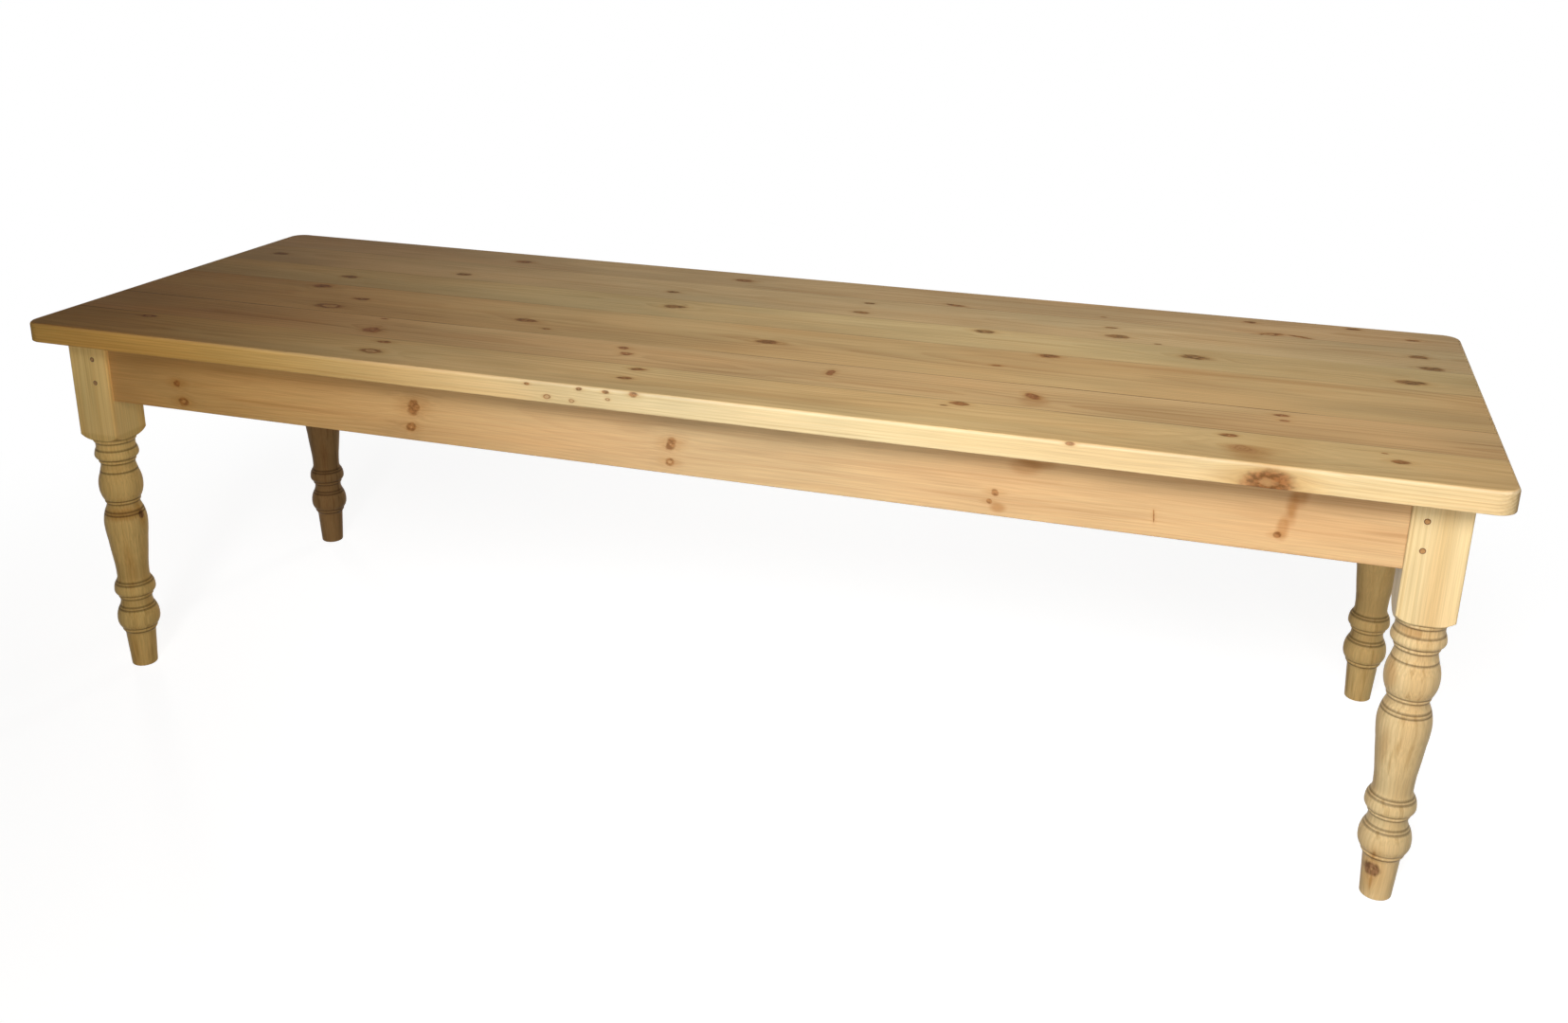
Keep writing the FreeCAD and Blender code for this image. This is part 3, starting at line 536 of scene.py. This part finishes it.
# Knots of the upper face: place, radius, lean along and across, reach of the pale middle, and stain
TOP_KNOT_SIZE = 0.85
TOP_KNOTS = (
    # Front board
    (-1159, -332, 10, 0.3, 0.2, 0.4, 0.35),
    (-620, -334, 9, 0.2, 0.1, 0.1, 0.5),
    (-609, -396, 15, 0.5, -0.4, 0.5, 0.6),
    (-97, -331, 10, 0.5, 0.2, -0.2, 0.6),
    (-97, -389, 9, 0.2, -0.2, 0, 0.5),
    (491, -326, 11, 0.8, 0.2, -0.1, 0.6),
    (468, -344, 4, 0, 0, -0.3, 0.4),
    (935, -336, 10, 0.8, 0.2, -0.1, 0.6),
    (957, -396, 13, 0.7, -1.2, 1.3, 0.5),
    (1170, -342, 3.5, 0, 0, -0.3, 0.3),
    (1191, -376, 10, 0.4, -0.3, 0, 0.5),
    # Second board
    (-686, -268, 13, 0.8, -1.2, 0.2, 0.7),
    (-709, -186, 4, 0.2, 0.2, -0.1, 0.6),
    (-176, -212, 7, 0.4, -0.9, 0.3, 0.4),
    (-156, -246, 8, 0.4, -0.9, 0.3, 0.4),
    (237, -228, 4, 0, 5.5, -0.3, 0.5),
    (603, -240, 7, 1.2, -2.6, -0.2, 0.9),
    (1016, -200, 8, 0.2, 0, -0.1, 0.5),
    (1021, -229, 5, 0, 0, 0.2, 0.5),
    # Third board
    (-982, 6, 15, 0.7, -0.2, -0.2, 0.7),
    (-840, -62, 10, 0.3, 0.2, 0, 0.6),
    (-870, -136, 19, 0.4, -0.3, 0.5, 0.5),
    (-440, -95, 14, 0.3, -0.3, 0, 0.5),
    (-373, -140, 6, 0.4, -0.4, 0.3, 0.5),
    (66, -75, 15, 0.5, -0.1, 0, 0.7),
    (595, 20, 13, 0.7, 0.1, -0.2, 0.8),
    (513, -77, 5.5, 0.2, 0, -0.3, 1),
    # Fourth board
    (-974, 103, 13, 1, -0.2, -0.3, 0.7),
    (-201, 114, 15, 1, 0.2, -0.3, 0.7),
    (448, 151, 14, 0.5, 0, 0.1, 0.5),
    (857, 110, 17, 0.7, 0, 0.15, 0.6),
    (1238, 79, 15, 1.6, 0, -0.2, 0.7),
    # Fifth board
    (-1257, 249, 12, 0.4, 0.2, -0.2, 0.4),
    (-751, 215, 13, 0.6, -0.2, -0.2, 0.4),
    (-251, 231, 9, 0.4, 0, -0.3, 0.5),
    (176, 289, 8, 0.6, 0, -0.3, 0.4),
    (180, 208, 11, 0.4, 0, -0.2, 0.5),
    (684, 272, 7, 0.3, 0.1, -0.3, 0.5),
    (703, 209, 15, 0.7, 0, -0.1, 0.5),
    (784, 179, 4, 0, 0, 0.1, 0.4),
    (1264, 263, 12, 0.7, 0.2, -0.1, 0.5),
    (1280, 187, 15, 0.9, 0, -0.2, 0.5),
    # Back board
    (-682, 378, 12, 0.3, -0.4, 0, 0.6),
    (-139, 388, 13, 0.4, 0.1, 0, 0.7),
    (353, 338, 9, 2.6, -0.5, -0.1, 0.5),
    (661, 352, 4, 0, 0, -0.1, 0.4),
    (953, 419, 8, 0.4, 0, -0.1, 0.6),
    (1050, 336, 6, 3.6, -1.2, -0.3, 0.9),
    (992, 333, 11, 1.6, 0.9, 0.5, 1),
    (1153, 436, 8, 1.4, 0, -0.2, 0.7),
    (1262, 388, 8, 0.4, 0, 0.1, 0.8),
)
# Knots that come out of the front edge: centre, direction, radius, reach of the pale middle, and stain
EDGE_KNOTS = [
    ((1000, -460, 752), (0.1, 1.0, 0.0), 20, 0.22, 0.9),
    ((-255, -460, 773), (0.0, 1.0, -0.4), 2.4, 0.0, 0.4),
    ((-154, -460, 774), (0.0, 1.0, -0.4), 2.8, 0.0, 0.4),
    ((-104, -460, 774), (0.0, 1.0, -0.4), 3.2, 0.0, 0.4),
    ((-51, -460, 776), (0.0, 1.0, -0.8), 4.2, 0.0, 0.5),
    ((697, -460, 778), (0.0, 1.0, -0.8), 3.4, 0.0, 0.5),
    ((-217, -460, 753), (0.8, 1.0, 0.0), 4.0, 0.5, 0.4),
    ((-169, -460, 751), (0.8, 1.0, 0.0), 3.4, 0.6, 0.3),
    ((-100, -460, 761), (0.8, 1.0, 0.0), 3.2, 0.6, 0.3),
]
# Each board, front to back: its tones, pith, ring spacing, sway and seed
BOARDS = (
    (((214, 183, 131), (180, 138, 86), (203, 163, 108)), (-402, 655), 5.0, (20, 12), 1.3),
    (((209, 175, 126), (174, 130, 82), (196, 152, 103)), (-262, 690), 4.5, (26, 10), 2.9),
    (((207, 173, 122), (170, 125, 77), (193, 151, 100)), (-40, 640), 5.5, (30, 14), 4.1),
    (((210, 182, 132), (174, 139, 88), (195, 162, 110)), (118, 700), 4.2, (20, 10), 5.7),
    (((207, 179, 134), (171, 134, 87), (192, 158, 112)), (262, 668), 5.0, (26, 12), 7.2),
    (((202, 171, 127), (165, 126, 82), (185, 149, 105)), (380, 690), 4.6, (22, 10), 8.8),
)
# The two tones of each board's knots. Those of the second board are redder and lighter.
BOARD_HEARTS = (
    ((160, 106, 62), (110, 72, 42)),
    ((168, 112, 72), (124, 80, 50)),
    ((156, 106, 64), (104, 70, 42)),
    ((152, 110, 66), (98, 70, 42)),
    ((152, 110, 66), (98, 70, 42)),
    ((154, 106, 64), (104, 70, 42)),
)
BOARD_PATCHES = (
    (((1002, -462, 752), (38, 16, 30), 0.75), ((968, -410, 780), (46, 46, 20), 0.6)),
    (((790, -262, 780), (150, 50, 30), 0.16), ((610, -262, 780), (30, 50, 30), 0.4)),
    (((960, 6, 780), (330, 17, 30), 0.34), ((120, 8, 780), (260, 26, 30), 0.28)),
    (((870, 150, 780), (60, 22, 30), 0.2),),
    (((420, 200, 780), (60, 30, 30), 0.12),),
    (((10, 338, 780), (170, 8, 30), 0.36), ((980, 344, 780), (110, 18, 30), 0.35)),
)
# The left end of the upper face is darker and redder, most of all on the front board: partly the wood's
# own tone and partly painted shade of the dimmer end.
LEFT_END_FRONT, LEFT_END_BACK = (0.95, 0.73, 0.49, 1.0), (1.06, 0.96, 0.90, 1.0)
# The top's edges are more yellow at the left and paler at the right: partly the wood's own tone and
# partly painted light, dimmer at the left and brighter at the right.
EDGE_LEFT, EDGE_RIGHT = (0.93, 0.77, 0.45, 1.0), (0.87, 0.98, 1.18, 1.0)

for index, (tones, pith, spacing, sway, seed) in enumerate(BOARDS):
    rows = [row for row in TOP_KNOTS if BOARD_EDGES[index] <= row[1] < BOARD_EDGES[index + 1]]
    knots = face_knots(rows, TOP_FACE, TOP_KNOT_SIZE)
    if index == 0:
        knots += EDGE_KNOTS
    back_share = index / (len(BOARDS) - 1)
    left_end = [
        front + (back - front) * back_share for front, back in zip(LEFT_END_FRONT, LEFT_END_BACK)
    ]
    material = wood(
        f"board_{index + 1}_pine",
        "x_flat",
        tones,
        pith,
        spacing,
        sway,
        seed,
        knots,
        BOARD_PATCHES[index],
        stretch=0.48,
        heart=BOARD_HEARTS[index],
        ring_strength=0.42,
        streak_strength=0.26,
        joints=JOINTS[max(index - 1, 0):index + 1],
        drift=(left_end, EDGE_LEFT, EDGE_RIGHT),
        raw_below=True,
    )
    dress(f"top_board_{index + 1}", material)

# Aprons
APRON_TONES = ((194, 166, 126), (168, 128, 88), (186, 148, 106))
APRON_HEART = ((160, 114, 72), (122, 82, 50))
# The aprons' outer faces, from the middle of the table
LONG_FACE, END_FACE = 395, 1297
FRONT_PATCHES = (
    ((640, 724, -LONG_FACE), (34, 22, 60), 0.55),
    ((620, 704, -LONG_FACE), (30, 18, 60), 0.5),
    ((579, 627, -LONG_FACE), (16, 10, 60), 0.75),
    ((1052, 716, -LONG_FACE), (16, 34, 60), 0.65),
    ((1042, 686, -LONG_FACE), (14, 30, 60), 0.85),
    ((1032, 660, -LONG_FACE), (11, 26, 60), 0.7),
    ((930, 676, -LONG_FACE), (480, 120, 60), 0.28),
)
# The front apron is more yellow at its left end, partly its own tone and partly painted shade there.
FRONT_DRIFT = (WHITE, (1.05, 0.85, 0.55, 1.0), WHITE)
# Name, grain, outer face, pith, seed, patches, drift and knots
APRONS = (
    (
        "apron_front",
        "x_upright",
        -LONG_FACE,
        (690, -300),
        11.3,
        FRONT_PATCHES,
        FRONT_DRIFT,
        (
            (-1056, 667, 7, 0.3, 0.5, -0.15, 0.5),
            (-1046, 630, 9, 0.4, 0.1, 0.25, 0.5),
            (-527, 678, 10, 0.35, 1.2, -0.2, 0.5),
            (-534, 638, 8, 0.6, 0.1, 0.0, 0.5),
            (-9, 668, 8, 0.35, 1.0, 0.1, 0.5),
            (-11, 634, 7, 0.3, 0.1, 0.3, 0.5),
            (573, 654, 5, 0.1, 0.4, -0.15, 0.4),
            (564, 637, 4, 0.0, 0.0, -0.15, 0.4),
            (833, 647, 1.2, -0.8, 9.0, -0.2, 0.3),
            (1025, 642, 5, 0.5, 0.3, -0.2, 0.5),
        ),
    ),
    (
        "apron_back",
        "x_upright",
        LONG_FACE,
        (660, 300),
        12.9,
        (),
        None,
        (
            (-880, 655, 9, 0.4, 0.3, 0.3, 0.6),
            (-310, 690, 8, 0.5, 1.0, 0.5, 0.7),
            (140, 640, 11, 0.3, 0.0, 0.2, 0.6),
            (610, 672, 8, 0.3, 1.4, 0.4, 0.7),
            (1010, 650, 7, 0.5, 0.2, 0.6, 0.6),
        ),
    ),
    (
        "apron_left",
        "y_upright",
        -END_FACE,
        (650, -1180),
        14.4,
        (),
        None,
        ((-120, 662, 9, 0.4, 0.5, 0.3, 0.6), (190, 690, 6, 0.3, 0.2, 0.5, 0.6)),
    ),
    (
        "apron_right",
        "y_upright",
        END_FACE,
        (700, 1190),
        15.8,
        (),
        None,
        ((-60, 684, 8, 0.5, 0.9, 0.4, 0.6), (210, 645, 10, 0.3, 0.2, 0.2, 0.7)),
    ),
)
for name, grain, face, pith, seed, patches, drift, rows in APRONS:
    material = wood(
        f"{name}_pine",
        grain,
        APRON_TONES,
        pith,
        4.2,
        (16, 10),
        seed,
        face_knots(rows, face),
        patches,
        heart=APRON_HEART,
        ring_strength=0.22,
        streak_strength=0.28,
        drift=drift,
    )
    dress(name, material)

# Legs
LEG_X, LEG_Y = 1260.0, 358.0
LEG_HEART = ((146, 104, 74), (98, 64, 44))
# Name, side of the table in X and Y, tones, pith, ring spacing, seed, knots, patches and turned tone. The
# grain runs up the leg, so places and reaches go up, along X and along Y.
LEGS = (
    (
        "leg_front_right",
        (1, -1),
        ((217, 192, 146), (177, 142, 90), (203, 168, 117)),
        (1292, -470),
        6.5,
        21.0,
        (((60, 1246, -382), (0.1, 0.1, 1.0), 13, 0.1, 0.9),),
        (
            ((506, 1240, -402), (11, 26, 30), 0.7),
            ((425, 1226, -398), (34, 9, 40), 0.6),
            ((290, 1232, -398), (50, 9, 40), 0.45),
            ((215, 1226, -398), (36, 10, 40), 0.55),
            ((98, 1244, -384), (22, 4, 20), 0.9),
            ((34, 1247, -384), (22, 3, 20), 0.7),
        ),
        None,
    ),
    (
        "leg_front_left",
        (-1, -1),
        ((244, 210, 140), (197, 151, 85), (225, 179, 106)),
        (-1190, -300),
        6.0,
        22.7,
        (((350, -1218, -357), (0.0, 1.0, 0.1), 7, -0.2, 0.8),),
        (
            ((357, -1245, -385), (15, 48, 48), 0.7),
            ((400, -1286, -390), (50, 12, 40), 0.4),
            ((240, -1240, -398), (60, 10, 40), 0.4),
        ),
        (0.89, 0.86, 0.80, 1.0),
    ),
    (
        "leg_back_right",
        (1, 1),
        ((212, 182, 124), (170, 132, 76), (198, 160, 102)),
        (1180, 430),
        6.0,
        24.1,
        (),
        (((236, 1226, 322), (26, 16, 30), 0.7), ((420, 1280, 320), (50, 12, 30), 0.4)),
        None,
    ),
    (
        "leg_back_left",
        (-1, 1),
        # Much darker tones: partly the leg's own wood and partly painted shade, for the leg under the table
        ((158, 124, 82), (116, 84, 50), (141, 106, 68)),
        (-1340, 300),
        6.0,
        25.9,
        (((395, -1230, 320), (1.0, -1.0, 0.3), 6, 0.2, 0.5),),
        (((240, -1240, 320), (60, 20, 30), 0.5),),
        None,
    ),
)
for name, (side_x, side_y), tones, pith, spacing, seed, knots, patches, turned in LEGS:
    material = wood(
        f"{name}_pine",
        "z",
        tones,
        pith,
        spacing,
        (7, 7),
        seed,
        knots,
        patches,
        heart=LEG_HEART,
        ring_strength=0.22,
        streak_strength=0.55,
        turning=((LEG_X * side_x, LEG_Y * side_y), turned),
        rough=0.38,
        gloss=0.05,
    )
    dress(name, material)

# Hidden timber
RAW_TONES = ((224, 192, 148), (188, 142, 96), (212, 172, 124))
BUTTON_TONES = ((206, 168, 118), (150, 106, 64), (188, 144, 96))
BEARER_X, BEARER_FACE = 430, 706
for index in range(len(JOINTS)):
    material = wood(
        f"tongue_{index + 1}_pine", "x_flat", RAW_TONES, (0, 600), 3.0, (10, 5), 30.0 + index
    )
    dress(f"top_tongue_{index + 1}", material)
for name, side, seed in (("bearer_left", -1, 41.0), ("bearer_right", 1, 42.0)):
    rows = ((-150 * side, BEARER_X * side - 8, 7, 0.3, 0.3, 0.3, 0.6),)
    material = wood(
        f"{name}_pine",
        "y_flat",
        RAW_TONES,
        (BEARER_X * side + 20, 640),
        3.8,
        (12, 8),
        seed,
        face_knots(rows, BEARER_FACE),
        rough=0.6,
    )
    dress(name, material)
for side, count, grain in (
    ("front", 5, "y_flat"),
    ("back", 5, "y_flat"),
    ("left", 2, "x_flat"),
    ("right", 2, "x_flat"),
):
    for number in range(1, count + 1):
        name = f"button_{side}_{number}"
        seed = 50.0 + 3.1 * number
        material = wood(
            f"{name}_wood", grain, BUTTON_TONES, (0, 500), 2.4, (6, 4), seed, rough=0.55
        )
        dress(name, material)

# Pegs
PEG_LOW, PEG_HIGH = 649.0, 698.0
PEG_RADIUS = 5
PEG_GRIT, PEG_SPECK = (900.0, 900.0, 900.0), (240.0, 240.0, 240.0)
PEG_PALE, PEG_DARK = linear(176, 134, 82), linear(148, 106, 60)
PEG_SPECK_COLOUR, PEG_RIM = linear(112, 76, 42), linear(98, 62, 34)


def peg_wood(name, long_x, end_y):
    """End grain of turned pegs: a dark worn rim and a paler, speckled middle.

    long_x is the place along the table of those in the long apron, end_y that across it of the others.
    """
    material, net = new_material(name)
    point = frame_point(net)
    x, y, z = net.split(point)
    rise = net.math("ABSOLUTE", net.math("SUBTRACT", z, (PEG_LOW + PEG_HIGH) / 2 * MM))
    rise = net.math("SUBTRACT", rise, (PEG_HIGH - PEG_LOW) / 2 * MM)
    in_long = net.vector("LENGTH", net.join(net.math("SUBTRACT", x, long_x * MM), rise, 0.0))
    in_end = net.vector("LENGTH", net.join(net.math("SUBTRACT", y, end_y * MM), rise, 0.0))
    radius = net.math("DIVIDE", net.math("MINIMUM", in_long, in_end), PEG_RADIUS * MM)
    grit = net.noise(point, PEG_GRIT)
    speck = net.noise(point, PEG_SPECK)
    colour = net.mix(net.step(grit, 0.3, 0.7), PEG_PALE, PEG_DARK)
    colour = net.mix(net.step(speck, 0.5, 0.7, 0.0, 0.6), colour, PEG_SPECK_COLOUR)
    colour = net.mix(net.step(radius, 0.55, 0.92), colour, PEG_RIM)
    shader = net.preset("ShaderNodeBsdfPrincipled")
    net.feed(shader.inputs["Base Color"], colour)
    net.feed(shader.inputs["Roughness"], net.step(grit, 0.2, 0.8, 0.5, 0.62))
    net.bump(shader, speck, 0.3)
    net.show(shader)
    return material


for name, long_x, end_y in (
    ("pegs_front_left", -1249.0, -341.0),
    ("pegs_front_right", 1239.0, -341.0),
    ("pegs_back_left", -1243.0, 341.0),
    ("pegs_back_right", 1243.0, 341.0),
):
    dress(name, peg_wood(f"{name}_wood", long_x, end_y))

# Screws
TARNISH, TURNING_MARKS = (260.0, 260.0, 260.0), (3000.0, 3000.0, 400.0)
BRIGHT_STEEL, TARNISHED = linear(176, 172, 162), linear(116, 98, 74)


def screw_steel():
    """Dull bright steel with fine turning marks and a little tarnish."""
    material, net = new_material("screw_metal")
    point = frame_point(net)
    tarnish = net.step(net.noise(point, TARNISH, 3.0), 0.45, 0.75)
    scratch = net.noise(point, TURNING_MARKS)
    shader = net.preset("ShaderNodeBsdfPrincipled", Metallic=1.0)
    net.feed(shader.inputs["Base Color"], net.mix(tarnish, BRIGHT_STEEL, TARNISHED))
    net.feed(shader.inputs["Roughness"], net.step(scratch, 0.2, 0.8, 0.30, 0.48))
    net.show(shader)
    return material


STEEL = screw_steel()
dress("button_screws", STEEL)
dress("bearer_screws", STEEL)

# Floor and world
FLOOR_REACH = 40.0
# What the floor throws back onto the table, and what it shows: a soft shadow over a white glow
FLOOR_LIT, FLOOR_SHOWN = (0.20, 0.195, 0.19, 1.0), (0.34, 0.34, 0.34, 1.0)
FLOOR_GLOW = 0.90
# Distance from the middle of the table at which the shadow begins to fade, and where all is white
SHADOW_FADE, SHADOW_END = 1.5, 2.6
WORLD_LIGHT = (0.012, 0.009, 0.006, 1.0)


def seen_directly(net):
    """1 for a ray that shows a surface to the eye, straight or by reflection, and 0 for its light."""
    path = net.node("ShaderNodeLightPath").outputs
    seen = net.math("MAXIMUM", path["Is Camera Ray"], path["Is Glossy Ray"])
    return net.math("MAXIMUM", seen, path["Is Transmission Ray"])


def make_floor():
    mesh = bpy.data.meshes.new("floor")
    corners = [(-1, -1), (1, -1), (1, 1), (-1, 1)]
    mesh.from_pydata([(FLOOR_REACH * x, FLOOR_REACH * y, 0.0) for x, y in corners], [], [(0, 1, 2, 3)])
    floor = bpy.data.objects.new("floor", mesh)
    bpy.context.scene.collection.objects.link(floor)
    material, net = new_material("floor_paint")
    lit = net.preset("ShaderNodeBsdfDiffuse", Color=FLOOR_LIT)
    near = net.node("ShaderNodeAddShader")
    net.feed(near.inputs[0], net.preset("ShaderNodeBsdfDiffuse", Color=FLOOR_SHOWN).outputs[0])
    net.feed(near.inputs[1], net.preset("ShaderNodeEmission", Color=WHITE, Strength=FLOOR_GLOW).outputs[0])
    far = net.preset("ShaderNodeEmission", Color=WHITE, Strength=1.0)
    distance = net.vector("LENGTH", net.node("ShaderNodeNewGeometry").outputs["Position"])
    shown = net.mix_shaders(net.step(distance, SHADOW_FADE, SHADOW_END), near, far)
    net.show(net.mix_shaders(seen_directly(net), lit, shown))
    mesh.materials.append(material)


def make_world():
    world = bpy.data.worlds.new("studio")
    bpy.context.scene.world = world
    world.use_nodes = True
    net = Net(world.node_tree)
    background = net.preset("ShaderNodeBackground", Strength=1.0)
    net.feed(background.inputs["Color"], net.mix(seen_directly(net), WORLD_LIGHT, WHITE))
    net.show(background, "ShaderNodeOutputWorld")


# Lamps
# Name, place, aim, size, power in watts, spread in degrees, tint, and whether reflections show it
LAMPS = (
    ("key", (0.56, -2.88, 2.77), (0.68, 0.0, 1.8), 1.7, 45.0, 78.0, (1.0, 1.0, 1.0), True),
    ("front", (0.26, -3.8, 1.2), (1.0, -1.44, 0.0), 0.6, 38.5, 151.0, (1.0, 0.99, 0.96), False),
    ("right", (2.1, -2.9, 0.35), (0.0, 0.0, 0.3), 0.4, 22.0, 180.0, (1.0, 0.98, 0.93), False),
    ("left_end", (-4.2, 2.6, 0.45), (-2.27, 0.3, 0.5), 0.6, 7.0, 40.0, (1.0, 0.97, 0.92), False),
    ("back", (-0.4, 4.0, 0.42), (-0.2, 0.4, 0.52), 0.7, 14.0, 70.0, (1.0, 0.97, 0.92), False),
    ("right_end", (3.4, 2.6, 0.45), (1.6, 0.2, 0.52), 0.5, 3.0, 30.0, (1.0, 0.97, 0.92), False),
)


def area_light(name, place, aim, size, power, spread, tint, mirrored):
    data = bpy.data.lights.new(name, "AREA")
    data.shape = "DISK"
    data.size = size
    data.energy = power
    data.spread = math.radians(spread)
    data.color = tint
    light = bpy.data.objects.new(name, data)
    bpy.context.scene.collection.objects.link(light)
    light.location = place
    light.rotation_mode = "QUATERNION"
    light.rotation_quaternion = (Vector(aim) - Vector(place)).to_track_quat("-Z", "Y")
    light.visible_glossy = mirrored


# Camera: the photograph's own viewpoint, solved from the table's edges
PHOTO_WIDTH, PHOTO_HEIGHT = 1655.0, 1080.0
# Focal length and optical centre, in the photograph's pixels
FOCAL, CENTRE_X, CENTRE_Y = 1586.874, 819.943, 452.040
YAW, PITCH_DOWN, ROLL = 0.305339, -0.332370, 0.015472
CAMERA_PLACE = (0.928074, -2.740798, 1.570854)
SENSOR_WIDTH = 36.0


def make_camera():
    level_share = math.cos(PITCH_DOWN)
    forward = Vector((-math.sin(YAW) * level_share, math.cos(YAW) * level_share, math.sin(PITCH_DOWN)))
    level = forward.cross(Vector((0.0, 0.0, 1.0))).normalized()
    up = level.cross(forward)
    right = level * math.cos(ROLL) + up * math.sin(ROLL)
    up = up * math.cos(ROLL) - level * math.sin(ROLL)
    data = bpy.data.cameras.new("camera")
    data.sensor_fit = "HORIZONTAL"
    data.sensor_width = SENSOR_WIDTH
    data.lens = SENSOR_WIDTH * FOCAL / PHOTO_WIDTH
    data.shift_x = (PHOTO_WIDTH / 2 - CENTRE_X) / PHOTO_WIDTH
    data.shift_y = (CENTRE_Y - PHOTO_HEIGHT / 2) / PHOTO_WIDTH
    data.clip_end = 200.0
    camera = bpy.data.objects.new("camera", data)
    bpy.context.scene.collection.objects.link(camera)
    turn = Matrix((right, up, -forward)).transposed().to_4x4()
    camera.matrix_world = Matrix.Translation(CAMERA_PLACE) @ turn
    bpy.context.scene.camera = camera


make_floor()
make_world()
for lamp in LAMPS:
    area_light(*lamp)
make_camera()
bpy.context.scene.view_settings.view_transform = "Standard"
